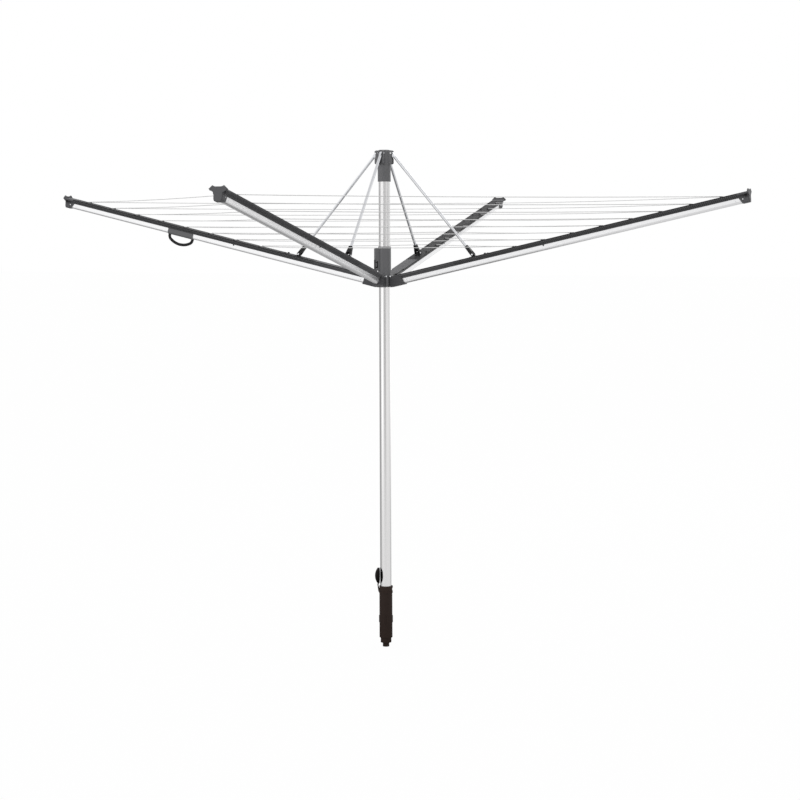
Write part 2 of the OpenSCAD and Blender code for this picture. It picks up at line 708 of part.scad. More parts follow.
module bracket_pin(side) color(STEEL) on_arm(side) {
    cross_bar(bracket_at, bracket_v, foot_pin_d / 2, fork_w / 2 + part_gap);
    for (half = [-1, 1]) translate([bracket_at, half * (fork_w / 2 + part_gap), bracket_v])
        rotate([-90 * half, 0, 0])
            cylinder(r1 = foot_pin_d / 2 + 1.5, r2 = foot_pin_d / 2 + 0.5, h = pin_head_h);
}

// Each arm carries its half of every line that it shares with a neighbour
module lines(side) color(LINE) rotate([0, 0, 90 * side]) for (half = [0, 1]) mirror([0, half, 0])
    intersection() {
        for (k = [0:line_count - 1])
            translate([line_radius(k), guide_out, line_z(line_radius(k))])
                rotate([0, 0, 135]) rotate([0, 90, 0]) translate([0, 0, -2 * line_d])
                    cylinder(d = line_d, h = half_line(k) + 2 * line_d, $fn = 24);
        translate([0, guide_out, 0]) cube(far);
    }

// Take-up carriage that draws the lines in; it slides inside the channel
module line_carriage(side) color(BLACK) on_arm(side) difference() {
    in_channel(carriage_at, carriage_at + carriage_len, part_gap);
    for (end = [0.25, 0.75]) translate([carriage_at + carriage_len * end, 0, channel_v - 1])
        cylinder(d = channel_h / 3, h = channel_h + 2);
}

// ---------------------------------------------------------------- struts

module strut_tube(side) color(ALUMINIUM) on_strut(side) {
    rotate([0, 90, 0]) ring(strut_d / 2, strut_d / 2 - strut_wall,
                            fork_slot_len + 8, strut_len - 16);
    translate([strut_len - 20, -strut_d * 0.4, -strut_d / 2])
        cube([20, strut_d * 0.8, strut_d]);
    cross_bar(strut_len, 0, strut_eye_r, strut_d * 0.4);
}

module strut_fork(side) color(BLACK) on_strut(side) difference() {
    union() {
        translate([0, 0, -fork_t / 2]) linear_extrude(fork_t)
            polygon([[0, fork_w / 2], [0, -fork_w / 2], [fork_slot_len - 6, -fork_w / 2],
                     [fork_len - 8, -fork_neck_r], [fork_len, -fork_neck_r],
                     [fork_len, fork_neck_r], [fork_len - 8, fork_neck_r],
                     [fork_slot_len - 6, fork_w / 2]]);
        cross_bar(0, 0, fork_t / 2, fork_w / 2);
    }
    translate([-fork_t, -foot_w / 2 - slot_gap, -fork_t])
        cube([fork_t + fork_slot_len, foot_w + 2 * slot_gap, 2 * fork_t]);
    cross_bar(0, 0, foot_pin_d / 2 + run, fork_w);
    translate([fork_slot_len + 8, 0, 0]) rotate([0, 90, 0])
        cylinder(r = strut_d / 2 + seat, h = fork_len);
}

// ---------------------------------------------------------------- handle on the left arm

module handle_bracket() color(PLASTIC) on_arm(2)
    run_along(mirrored(concat(channel_edge(0), [[channel_half, seam_v], [handle_half, seam_v]],
                              backwards(channel_edge(-handle_wall)))),
              handle_at - handle_len / 2, handle_at + handle_len / 2);

module handle_loop() color(BLACK) on_arm(2) translate([handle_at, 0, handle_v]) {
    outer = loop_edge(bar_r);
    inner = loop_edge(-bar_r);
    side_plate(concat(outer, backwards(inner)), -bar_r, bar_r);
}

// ---------------------------------------------------------------- assembly

ground_socket();
lid();
lid_pin();
mast_tube();
foot_plug();
top_collar();
strut_head();
head_rivets();
slider_sleeve();
slider_hub();
slider_bushes();
arm_hinge_pins();
latch_lever();
latch_pin();
latch_spring();
handle_bracket();
handle_loop();
for (i = [0:3]) {
    arm_channel(i);
    arm_cover(i);
    arm_root(i);
    arm_tip(i);
    strut_bracket(i);
    bracket_pin(i);
    lines(i);
    line_carriage(i);
    strut_tube(i);
    strut_fork(i);
}
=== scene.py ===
# %% [markdown]
# # Dressing a rotary clothesline
# The frame of this dryer already exists as exact solids: mast, slider, four arms, struts and a
# ground socket. This lesson gives those solids real finishes and adds what solids are poor at:
# cord that sags a little, a bent grip and small fasteners. Everything is in metres, and a size
# that is given in millimetres is multiplied by MM.

# %% Load the frame
import json
import math

import bmesh
import bpy
from mathutils import Matrix, Vector


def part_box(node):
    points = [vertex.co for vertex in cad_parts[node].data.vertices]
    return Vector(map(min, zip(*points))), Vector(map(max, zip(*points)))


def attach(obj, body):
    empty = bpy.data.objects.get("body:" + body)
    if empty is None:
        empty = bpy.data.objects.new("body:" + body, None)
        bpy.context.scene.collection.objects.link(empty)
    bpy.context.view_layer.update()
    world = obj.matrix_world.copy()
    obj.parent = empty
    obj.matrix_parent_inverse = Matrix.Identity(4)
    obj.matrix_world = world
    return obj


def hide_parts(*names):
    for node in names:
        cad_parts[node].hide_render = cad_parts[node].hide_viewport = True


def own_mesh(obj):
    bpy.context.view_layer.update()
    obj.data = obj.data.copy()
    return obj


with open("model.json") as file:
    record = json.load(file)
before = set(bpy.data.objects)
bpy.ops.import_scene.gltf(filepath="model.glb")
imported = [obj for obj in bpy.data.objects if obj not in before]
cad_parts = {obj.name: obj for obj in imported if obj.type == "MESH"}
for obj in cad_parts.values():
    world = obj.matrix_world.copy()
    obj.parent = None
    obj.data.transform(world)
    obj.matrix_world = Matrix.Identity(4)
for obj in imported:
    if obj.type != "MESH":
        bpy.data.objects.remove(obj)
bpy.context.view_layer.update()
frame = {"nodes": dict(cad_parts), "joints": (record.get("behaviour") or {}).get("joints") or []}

MM = 0.001
SIDES = ("right", "back", "left", "front")
JOINTS = {joint["name"]: joint for joint in frame["joints"]}
scene = bpy.context.scene

# %% [markdown]
# ## The camera
# A tall thing looks calm from far away through a long lens, at about eye height. The camera
# looks a little down, so it is turned about X by less than a right angle.

# %% Camera
CAMERA_PLACE = (3.037, -7.584, 1.601)
HEADING, PITCH, ROLL = (math.radians(degrees) for degrees in (21.361, 84.63, -0.183))
lens = bpy.data.cameras.new("catalogue_camera")
lens.lens = 83.36
lens.sensor_width = 36
lens.clip_end = 200
camera = bpy.data.objects.new("catalogue_camera", lens)
camera.matrix_world = (
    Matrix.Translation(CAMERA_PLACE)
    @ Matrix.Rotation(HEADING, 4, "Z")
    @ Matrix.Rotation(PITCH, 4, "X")
    @ Matrix.Rotation(ROLL, 4, "Z")
)
scene.collection.objects.link(camera)
scene.camera = camera

# %% [markdown]
# ## Colour and nodes
# Colours are picked as hex values on a screen, which are sRGB, while shaders count in linear
# light. One function converts them. A second one adds a shader node with its settings, and
# links every input that is given as another node or as one of its outputs.


# %% Helpers for colour and nodes
def linear(hex_colour):
    """The linear RGBA of an sRGB colour that is written as #rrggbb."""
    parts = [int(hex_colour[i:i + 2], 16) / 255 for i in (1, 3, 5)]
    return [c / 12.92 if c <= 0.04045 else ((c + 0.055) / 1.055) ** 2.4 for c in parts] + [1]


def add(tree, kind, inputs=(), **settings):
    """Adds a shader node; inputs maps a socket's name or number to a value, node or output."""
    node = tree.nodes.new("ShaderNode" + kind)
    for name, value in settings.items():
        setattr(node, name, value)
    for name, value in dict(inputs).items():
        if isinstance(value, bpy.types.Node):
            value = value.outputs[0]
        if isinstance(value, bpy.types.NodeSocket):
            tree.links.new(value, node.inputs[name])
        else:
            node.inputs[name].default_value = value
    return node


def finish_material(name, **inputs):
    """A new material with one Principled shader; returns it with its tree and shader."""
    material = bpy.data.materials.new(name)
    material.use_nodes = True
    tree = material.node_tree
    tree.nodes.clear()
    shader = add(tree, "BsdfPrincipled", {key.replace("_", " "): v for key, v in inputs.items()})
    add(tree, "OutputMaterial", {"Surface": shader})
    return material, tree, shader


# %% [markdown]
# ## The studio
# The set is a white sweep. A metal tube shows nothing but its surroundings, so for reflections
# the sweep has large soft panels with darker gaps between them, and the satin mast turns those
# into its long light and dark bands. Matt surfaces are lit by an even white from all round, and
# the camera itself sees plain white. Each list below gives brightness by heading, in degrees
# anticlockwise from +X: for the floor far away, for the sweep above it and for the floor near
# the dryer. The ceiling's list goes by the sine of the elevation instead.

# %% World
LOW_PANELS = ((-180, 0.32), (-166, 0.3), (-144, 1.1), (-120, 1.35), (-98, 0.9), (-78, 0.4),
              (-60, 0.45), (-40, 0.9), (-13, 0.88), (12, 0.84), (36, 0.66), (60, 1.2),
              (90, 1.2), (112, 0.8), (135, 0.5), (158, 0.38), (179, 0.32))
HIGH_PANELS = ((-180, 0.5), (-160, 0.55), (-144, 0.8), (-121, 1.0), (-100, 1.05), (-77, 0.64),
               (-56, 0.52), (-35, 0.62), (-13, 0.74), (12, 0.66), (44, 0.7), (62, 0.85),
               (90, 0.85), (120, 0.7), (150, 0.55), (179, 0.5))
NEAR_FLOOR = ((-180, 0.36), (-160, 0.5), (-140, 0.78), (25, 0.78), (60, 0.5), (179, 0.36))
CEILING = ((0.0, 1.1), (0.36, 1.25), (0.65, 0.8), (1.0, 0.85))
CEILING_FROM, CEILING_TO = 0.08, 0.3
EVEN_LIGHT, WHITE = (0.95, 0.95, 0.95, 1), (1, 1, 1, 1)


def level_ramp(tree, share, levels):
    """Reads a brightness for a share of 0 to 1 from a list of (share, level)."""
    ramp = add(tree, "ValToRGB", {"Fac": share})
    stops = ramp.color_ramp.elements
    while len(stops) < len(levels):
        stops.new(0.5)
    for stop, (position, level) in zip(stops, levels):
        stop.position = position
    for stop, (position, level) in zip(stops, levels):
        stop.color = [level] * 3 + [1]
    return ramp


def around(tree, vector, levels):
    """Brightness by the heading of a vector, read from a list of (degrees, level)."""
    axes = add(tree, "SeparateXYZ", {"Vector": vector})
    heading = add(tree, "Math", {0: axes.outputs["Y"], 1: axes.outputs["X"]},
                  operation="ARCTAN2")
    share = add(tree, "MapRange", {"Value": heading, "From Min": -math.pi, "From Max": math.pi})
    peak = max(level for degrees, level in levels)
    ramp = level_ramp(tree, share, [((degrees + 180) / 360, level / peak)
                                    for degrees, level in levels])
    return add(tree, "Math", {0: ramp, 1: peak}, operation="MULTIPLY")


def sent_on(tree, path):
    """1 for a ray that metal or a clear surface has sent on, 0 for any other."""
    return add(tree, "Math", {0: path.outputs["Is Glossy Ray"],
                              1: path.outputs["Is Transmission Ray"]}, operation="MAXIMUM")


world = bpy.data.worlds.new("white_sweep")
world.use_nodes = True
scene.world = world
scene.view_settings.view_transform = "Standard"
sky = world.node_tree
sky.nodes.clear()
path = add(sky, "LightPath")
way = add(sky, "TexCoord").outputs["Generated"]
rising = add(sky, "SeparateXYZ", {"Vector": way}).outputs["Z"]
overhead = add(sky, "MapRange", {"Value": rising, "From Min": CEILING_FROM,
                                 "From Max": CEILING_TO}, interpolation_type="SMOOTHSTEP")
mirrored = add(sky, "MixRGB", {"Fac": overhead, "Color1": around(sky, way, HIGH_PANELS),
                               "Color2": level_ramp(sky, rising, CEILING)})
lit = add(sky, "MixRGB", {"Fac": sent_on(sky, path), "Color1": EVEN_LIGHT, "Color2": mirrored})
shown = add(sky, "MixRGB", {"Fac": path.outputs["Is Camera Ray"], "Color1": lit,
                            "Color2": WHITE})
light = add(sky, "Background", {"Color": shown, "Strength": 1.0})
add(sky, "OutputWorld", {"Surface": light})

# %% [markdown]
# Two big area lamps give the form some direction. Each is metres wide, so its shadow is soft.

# %% Lamps
LAMP_SIZE, LAMP_TARGET = 4.0, (0, 0, 1.4)


def lamp(name, place, watts):
    """Hangs a round lamp at a place and aims it at the middle of the dryer."""
    data = bpy.data.lights.new(name, "AREA")
    data.shape = "DISK"
    data.size = LAMP_SIZE
    data.energy = watts
    obj = bpy.data.objects.new(name, data)
    aim = Vector(LAMP_TARGET) - Vector(place)
    obj.matrix_world = Matrix.Translation(place) @ aim.to_track_quat("-Z", "Y").to_matrix().to_4x4()
    scene.collection.objects.link(obj)


lamp("key_lamp", (-3.5, -6.5, 6.5), 90)
lamp("back_lamp", (2.0, 6.5, 5.0), 60)

# %% [markdown]
# The floor lies just under the socket's foot. Light Path splits it: the camera sees it nearly as
# white as the sweep, with a faint shadow left in it. The metal sees the low panels in it far
# away, and a more even tone nearer, which is dark right under the dryer.

# %% Floor
FLOOR_HALF, FLOOR_GAP = 60, 0.5 * MM
FAR_FROM, FAR_TO = 1.0, 14.0
UNDER_FROM, UNDER_TO, UNDER_LEVEL = 0.6, 1.05, 0.2
FLOOR_WHITE, FLOOR_GLOW_SHARE = (1.03, 1.03, 1.03, 1), 0.94


def mesh_object(name, bm, material):
    """Makes an object of a bmesh, with one finish, and frees the bmesh."""
    mesh = bpy.data.meshes.new(name)
    bm.to_mesh(mesh)
    bm.free()
    mesh.materials.append(material)
    obj = bpy.data.objects.new(name, mesh)
    scene.collection.objects.link(obj)
    return obj


floor_material, tree, shader = finish_material("matt_white_floor", Roughness=0.9,
                                               Base_Color=linear("#a8a8a8"))
place = add(tree, "TexCoord").outputs["Object"]
away = add(tree, "VectorMath", {0: place}, operation="LENGTH").outputs["Value"]
far = add(tree, "MapRange", {"Value": away, "From Min": FAR_FROM, "From Max": FAR_TO},
          interpolation_type="SMOOTHSTEP")
tone = add(tree, "MixRGB", {"Fac": far, "Color1": around(tree, place, NEAR_FLOOR),
                            "Color2": around(tree, place, LOW_PANELS)})
under = add(tree, "MapRange", {"Value": away, "From Min": UNDER_FROM, "From Max": UNDER_TO,
                               "To Min": UNDER_LEVEL}, interpolation_type="SMOOTHSTEP")
tone = add(tree, "VectorMath", {0: tone, "Scale": under}, operation="SCALE")
path = add(tree, "LightPath")
mirrored = sent_on(tree, path)
glow = add(tree, "MixRGB", {"Fac": mirrored, "Color1": FLOOR_WHITE, "Color2": tone})
seen = add(tree, "Math", {0: path.outputs["Is Camera Ray"], 1: FLOOR_GLOW_SHARE},
           operation="MULTIPLY")
glowing = add(tree, "Math", {0: mirrored, 1: seen}, operation="MAXIMUM")
blend = add(tree, "MixShader", {"Fac": glowing, 1: shader,
                                2: add(tree, "Emission", {"Color": glow, "Strength": 1.0})})
tree.links.new(blend.outputs[0], tree.nodes["Material Output"].inputs["Surface"])
socket_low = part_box("ground_socket")[0]
bm = bmesh.new()
bmesh.ops.create_grid(bm, x_segments=1, y_segments=1, size=FLOOR_HALF,
                      matrix=Matrix.Translation((0, 0, socket_low.z - FLOOR_GAP)))
floor = mesh_object("studio_floor", bm, floor_material)

# %% [markdown]
# ## Finishes
# The arms slope, and each points another way, so a pattern that runs along an arm needs its own
# coordinates. An arm lies over an axis of the plan: the larger of |x| and |y| is how far out a
# point is, and the smaller is how far off the arm's middle. Turning (out, z) by the arm's slope
# gives the distance along the arm and the height across it.

# %% Coordinates along an arm
rise_axis = JOINTS["right_line_take_up"]["axis"]
ARM_RISE = math.atan2(-rise_axis[2], -rise_axis[0])
HINGE = JOINTS["right_arm_fold"]["pos_m"]


def arm_vector(tree, scale):
    """A vector of (along, across, up) in the arm's own directions, times a scale for each."""
    place = add(tree, "TexCoord").outputs["Object"]
    level = add(tree, "SeparateXYZ", {"Vector": place})
    size = add(tree, "VectorMath", {0: place}, operation="ABSOLUTE")
    plan = add(tree, "SeparateXYZ", {"Vector": size})
    out = add(tree, "Math", {0: plan.outputs["X"], 1: plan.outputs["Y"]}, operation="MAXIMUM")
    off = add(tree, "Math", {0: plan.outputs["X"], 1: plan.outputs["Y"]}, operation="MINIMUM")
    flat = add(tree, "CombineXYZ", {"X": out, "Y": off, "Z": level.outputs["Z"]})
    turned = add(tree, "Mapping", {"Vector": flat, "Rotation": (0, ARM_RISE, 0)})
    return add(tree, "VectorMath", {0: turned, 1: scale}, operation="MULTIPLY")


def object_vector(tree, scale):
    """Object coordinates times a scale, one number for each axis."""
    place = add(tree, "TexCoord").outputs["Object"]
    return add(tree, "VectorMath", {0: place, 1: scale}, operation="MULTIPLY")


# %% [markdown]
# **Anodised aluminium.** The mast and the arm channels are extruded, then etched and anodised.
# Extruding leaves fine die lines along the length, about a millimetre apart, and etching makes
# the surface satin. Stretched noise gives both: it moves the roughness a little and raises a
# very low bump. The struts are drawn tube without such lines, only a little clouded. Nearly all
# values of a noise lie between the two numbers below, so they mark its dark and its light end.

# %% Aluminium
NOISE_LOW, NOISE_HIGH = 0.3, 0.7


def aluminium(name, colour, vector, roughness, height):
    """Anodised aluminium; vector makes the coordinates of its noise from a node tree."""
    material, tree, shader = finish_material(name, Metallic=1.0)
    lines = add(tree, "TexNoise", {"Vector": vector(tree), "Scale": 1.0, "Detail": 3.0})
    darker = [c * 0.95 for c in linear(colour)[:3]] + [1]
    tint = add(tree, "MixRGB", {"Fac": lines, "Color1": linear(colour), "Color2": darker})
    shade = add(tree, "MapRange", {"Value": lines, "From Min": NOISE_LOW,
                                   "From Max": NOISE_HIGH, "To Min": roughness - 0.03,
                                   "To Max": roughness + 0.04})
    bump = add(tree, "Bump", {"Height": lines, "Strength": 0.25, "Distance": height})
    tree.links.new(tint.outputs[0], shader.inputs["Base Color"])
    tree.links.new(shade.outputs[0], shader.inputs["Roughness"])
    tree.links.new(bump.outputs[0], shader.inputs["Normal"])
    return material


MAST_ALUMINIUM = aluminium("satin_anodised_mast", "#f7f6f6",
                           lambda tree: object_vector(tree, (900, 900, 1.5)), 0.17, 0.01 * MM)
ARM_ALUMINIUM = aluminium("satin_anodised_channel", "#f4f4f5",
                          lambda tree: arm_vector(tree, (1.5, 900, 900)), 0.32, 0.01 * MM)
STRUT_ALUMINIUM = aluminium("satin_anodised_strut", "#dddee1",
                            lambda tree: object_vector(tree, (60, 60, 60)), 0.18, 0.002 * MM)

# %% [markdown]
# **Moulded ABS and nylon.** The grey covers and fittings come out of spark-eroded moulds, whose
# grain makes them matt. The real grain is a few tenths of a millimetre; here it is drawn at
# about one millimetre so that it shows at all. Outdoor plastic also fades unevenly, so a broad
# soft noise shifts the colour slightly.

# %% Plastics
GRAIN, GRAIN_HEIGHT = 1 * MM, 0.05 * MM


def moulded(name, colour, worn, roughness, shine=0.5):
    """Moulded plastic between two colours; returns its material, tree and shader."""
    material, tree, shader = finish_material(name, IOR=1.45, Specular_IOR_Level=shine)
    place = add(tree, "TexCoord").outputs["Object"]
    grain = add(tree, "TexNoise", {"Vector": place, "Scale": 1 / GRAIN, "Detail": 2.0})
    patches = add(tree, "TexNoise", {"Vector": place, "Scale": 14.0, "Detail": 3.0})
    tint = add(tree, "MixRGB", {"Fac": patches, "Color1": linear(colour),
                                "Color2": linear(worn)})
    shade = add(tree, "MapRange", {"Value": patches, "From Min": NOISE_LOW,
                                   "From Max": NOISE_HIGH, "To Min": roughness - 0.06,
                                   "To Max": roughness + 0.06})
    bump = add(tree, "Bump", {"Height": grain, "Strength": 0.4, "Distance": GRAIN_HEIGHT})
    tree.links.new(tint.outputs[0], shader.inputs["Base Color"])
    tree.links.new(shade.outputs[0], shader.inputs["Roughness"])
    tree.links.new(bump.outputs[0], shader.inputs["Normal"])
    return material, tree, shader


GREY_ABS = moulded("moulded_grey_abs", "#666668", "#6f6f71", 0.4)[0]
TIP_ABS = moulded("moulded_tip_abs", "#58585a", "#616163", 0.5, 0.2)[0]
DARK_ABS = moulded("moulded_dark_grey_abs", "#48484a", "#525254", 0.45, 0.3)[0]
BLACK_NYLON = moulded("moulded_black_nylon", "#141415", "#1b1b1c", 0.5, 0.3)[0]
SOCKET_PE = moulded("moulded_dark_polyethylene", "#291d19", "#33261f", 0.5, 0.25)[0]
LID_PE = moulded("moulded_black_polyethylene", "#0e0908", "#15100e", 0.55, 0.1)[0]

# %% [markdown]
# The line cover is a darker ABS. From the strut's foot outwards it has a fine cross ribbing, with
# ribs a few millimetres apart. A wave texture along the arm draws them as a bump, and its colour
# is painted shade: the grooves darker than the crests, and the top darker than the sides. On top
# the grooves are slots, painted nearly black as their shade. A thin dark band under the top edge
# is a painted shadow line where the cover's lid meets its sides. Heights are measured from the
# arm's hinge, and a wave texture turns by 20 radians in every unit at a scale of one.

# %% Ribbed cover
RIB_PITCH, RIB_HEIGHT, RIBS_FROM = 8 * MM, 0.5 * MM, 300 * MM
WAVE_RADIANS = 20
COVER_TOP, EDGE_ROUNDING = 0.75 * MM, 1.5 * MM
# Height and blur of the painted shadow line under the cover's top edge.
SHADOW_LINE_LOW, SHADOW_LINE_BLUR = 5 * MM, 1 * MM
hinge_along = HINGE[0] * math.cos(ARM_RISE) + HINGE[2] * math.sin(ARM_RISE)
top = HINGE[2] * math.cos(ARM_RISE) - HINGE[0] * math.sin(ARM_RISE) + COVER_TOP
COVER_ABS, tree, shader = moulded("ribbed_grey_abs", "#5e5e60", "#68686a", 0.55, 0.15)
plain = shader.inputs["Base Color"].links[0].from_socket
grain_normal = shader.inputs["Normal"].links[0].from_socket
arm_place = arm_vector(tree, (1, 1, 1))
arm_parts = add(tree, "SeparateXYZ", {"Vector": arm_place})
ribs = add(tree, "TexWave", {"Vector": arm_place,
                             "Scale": 2 * math.pi / (WAVE_RADIANS * RIB_PITCH)},
           wave_type="BANDS", bands_direction="X", wave_profile="SIN").outputs["Fac"]
ribbed = add(tree, "MapRange", {"Value": arm_parts.outputs["X"],
                                "From Min": hinge_along + RIBS_FROM,
                                "From Max": hinge_along + RIBS_FROM + RIB_PITCH})
# Painted shade: where this mask is 1, the top face takes darker colours than the sides.
top_painted_shade_mask = add(tree, "MapRange", {"Value": arm_parts.outputs["Z"],
                                "From Min": top - EDGE_ROUNDING,
                                "From Max": top - EDGE_ROUNDING / 3})
# Painted shadow line: a dark band just under the top edge, between the lid and the sides.
above_shadow_line_foot = add(tree, "MapRange", {"Value": arm_parts.outputs["Z"],
                                    "From Min": top - SHADOW_LINE_LOW,
                                    "From Max": top - SHADOW_LINE_LOW + SHADOW_LINE_BLUR})
painted_shadow_line = add(tree, "Math", {0: above_shadow_line_foot, 1: top_painted_shade_mask}, operation="SUBTRACT")
# Painted shade: grooves darker than crests, and both darker on the top face.
groove_painted_shade = add(tree, "MixRGB", {"Fac": top_painted_shade_mask, "Color1": linear("#343435"),
                              "Color2": linear("#0c0c0d")})
crest_painted_light_and_shade = add(tree, "MixRGB", {"Fac": top_painted_shade_mask, "Color1": linear("#6a6a6c"),
                             "Color2": linear("#4a4a4c")})
ribs_painted_shade = add(tree, "MixRGB", {"Fac": ribs, "Color1": groove_painted_shade, "Color2": crest_painted_light_and_shade})
surface = add(tree, "MixRGB", {"Fac": ribbed, "Color1": plain, "Color2": ribs_painted_shade})
surface = add(tree, "MixRGB", {"Fac": painted_shadow_line, "Color1": surface, "Color2": linear("#262627")})
rib_bump = add(tree, "Bump", {"Height": ribs, "Strength": 0.5, "Distance": RIB_HEIGHT,
                              "Normal": grain_normal})
tree.links.new(surface.outputs[0], shader.inputs["Base Color"])
tree.links.new(rib_bump.outputs[0], shader.inputs["Normal"])

# %% [markdown]
# **Turned steel** pins and rivets are small and bright. **Line cord** is a polyester core in
# smooth white PVC, a little soft in its highlights.

# %% Steel and cord
STEEL, tree, shader = finish_material("bright_turned_steel", Metallic=1.0, Roughness=0.22)
turning = add(tree, "TexNoise", {"Vector": add(tree, "TexCoord").outputs["Object"],
                                 "Scale": 1500.0})
tint = add(tree, "MixRGB", {"Fac": turning, "Color1": linear("#ecedef"),
                            "Color2": linear("#dddee0")})
tree.links.new(tint.outputs[0], shader.inputs["Base Color"])
CORD, tree, shader = finish_material("white_pvc_cord", Roughness=0.38, IOR=1.52)
soil = add(tree, "TexNoise", {"Vector": add(tree, "TexCoord").outputs["Object"],
                              "Scale": 25.0})
tint = add(tree, "MixRGB", {"Fac": soil, "Color1": linear("#e2e2e2"),
                            "Color2": linear("#d6d6d6")})
tree.links.new(tint.outputs[0], shader.inputs["Base Color"])

# %% [markdown]
# Each solid of the frame now gets its finish. The name of a node says what it is, so a short
# table from the end of the name to the finish covers all four arms. What isn't in it is grey ABS.

# %% Finishes on the frame
FINISHES = {
    "mast_tube": MAST_ALUMINIUM, "arm_channel": ARM_ALUMINIUM, "strut_tube": STRUT_ALUMINIUM,
    "arm_cover": COVER_ABS, "arm_root": DARK_ABS, "arm_tip": TIP_ABS,
    "ground_socket": SOCKET_PE, "lid": LID_PE,
    "foot_plug": BLACK_NYLON, "slider_bushes": BLACK_NYLON, "latch_lever": BLACK_NYLON,
    "strut_fork": BLACK_NYLON, "strut_bracket": BLACK_NYLON, "line_carriage": BLACK_NYLON,
    "handle_loop": BLACK_NYLON, "bracket_pin": STEEL, "lid_pin": STEEL, "latch_pin": STEEL,
    "latch_spring": STEEL, "arm_hinge_pins": STEEL, "head_rivets": STEEL, "lines": CORD,
}
for name, node in frame["nodes"].items():
    kind = name.split("_", 1)[1] if name.split("_")[0] in SIDES else name
    node.data.materials.clear()
    node.data.materials.append(FINISHES.get(kind, GREY_ABS))

# %% [markdown]
# ## New pieces
# A piece is modelled in a bmesh, placed, and handed to one function that makes the object,
# smooths it, lets it ride on a body of the frame and names its finish. Bent bars and cords all
# start as a ring, whose open end is then pulled or spun along.


# %% Helpers for pieces
def piece(name, bm, material, body, smooth=True):
    """Makes an object of a bmesh that rides on a body."""
    bmesh.ops.recalc_face_normals(bm, faces=bm.faces)
    obj = mesh_object(name, bm, material)
    for face in obj.data.polygons:
        face.use_smooth = smooth
    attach(obj, body)
    return obj


def arm_frame(side):
    """Origin on the arm's hinge pin; X out along the arm, Y across it, Z up out of its cover."""
    along = -Vector(JOINTS[side + "_line_take_up"]["axis"])
    across = Vector((0, 0, 1)).cross(along).normalized()
    turn = Matrix((along, across, along.cross(across))).transposed().to_4x4()
    return Matrix.Translation(JOINTS[side + "_arm_fold"]["pos_m"]) @ turn


def ring(bm, radius, segments, place):
    """Starts a tube in an empty bmesh; returns the edges of its open end."""
    bmesh.ops.create_circle(bm, segments=segments, radius=radius, matrix=place)
    return bm.edges[:]


def pull(bm, edges, vec):
    """Pulls a tube's open end straight along a vector; returns the new open end."""
    made = bmesh.ops.extrude_edge_only(bm, edges=edges)["geom"]
    moved = [item for item in made if isinstance(item, bmesh.types.BMVert)]
    bmesh.ops.translate(bm, verts=moved, vec=vec)
    return [item for item in made if isinstance(item, bmesh.types.BMEdge)
            and all(vert in moved for vert in item.verts)]


# %% [markdown]
# ### Rivets and screws
# Each fastener is a flattened ball whose lower half sinks into the surface that it holds. The
# ones of an arm are placed in the arm's own frame: how far out, how far across, how high, here
# in millimetres. Each stands on both sides of its arm.

# %% Fasteners
ARM_LEN, CHANNEL_HALF, TIP_HALF, SEAM_V, PIN_HALF = 1610, 13, 17, -19.5, 21.3
BARREL = (ARM_LEN - 17, 23, SEAM_V + 6)
TIP_SCREW = (ARM_LEN - 33, TIP_HALF, SEAM_V - 7)
RIVETS = ((70, CHANNEL_HALF, -30), (1545, CHANNEL_HALF, -30))
STOP_SCREW = (710, CHANNEL_HALF, SEAM_V - 2)
# kind: on the slider or the arm, finish, slot, radius, height of the dome, places
HEADS = {
    "hinge_caps": ("slider", STEEL, "steel", 4.2, 2.8, ((0, PIN_HALF, 0),)),
    "barrel_ends": ("arm", BLACK_NYLON, "black_plastic", 6.5, 2, (BARREL,)),
    "tip_screws": ("arm", STEEL, "steel", 3.6, 2, (TIP_SCREW,)),
    "channel_rivets": ("arm", STEEL, "steel", 2.4, 1.2, RIVETS),
    "stop_screws": ("arm", BLACK_NYLON, "black_plastic", 3.6, 2.5, (STOP_SCREW,)),
}


def domed_head(bm, place, radius, rise):
    """Adds a domed head at a place whose Z points out of the surface."""
    bmesh.ops.create_uvsphere(bm, u_segments=14, v_segments=8, radius=radius,
                              matrix=place @ Matrix.Diagonal((1, 1, rise / radius, 1)))


def across_arm(along, across, up):
    """A place in an arm's frame whose Z points out sideways, to the side that it is on."""
    turn = Matrix.Rotation(math.copysign(math.pi / 2, -across), 4, "X")
    return Matrix.Translation((along * MM, across * MM, up * MM)) @ turn


for side in SIDES:
    arm = arm_frame(side)
    for kind, (holder, material, slot, radius, rise, places) in HEADS.items():
        body = side + "_arm" if holder == "arm" else holder
        bm = bmesh.new()
        for along, across, up in places:
            for hand in (-1, 1):
                domed_head(bm, arm @ across_arm(along, hand * across, up), radius * MM, rise * MM)
        piece(f"{side}_{kind}", bm, material, body)

# %% [markdown]
# ### Painted shade on the latch housing
# On both sides of the latch housing lies a thin black sheet, a tall bar with a foot and a head. It
# is painted shade and stands for the shadowed outline of the latch button. A box mesh with
# bevelled edges is enough for each. The latch faces out along the line from the mast's axis to
# the lever's pivot.

# %% Latch plates
latch_place = JOINTS["latch_press"]["pos_m"]
LATCH_TURN = Matrix.Rotation(math.atan2(latch_place[1], latch_place[0]), 4, "Z")
HOUSING_HALF, SHADE_SHEET_T, SHADE_SHEET_SUNK, SHADE_SHEET_BEVEL = 8, 0.35, 0.05, 0.3
# millimetres out from the mast's axis, above the lever's middle, wide and high
SHADE_SHEET_BOXES = ((37.5, 0, 5, 30), (41, -13, 9, 6), (41.5, 9, 7, 5))


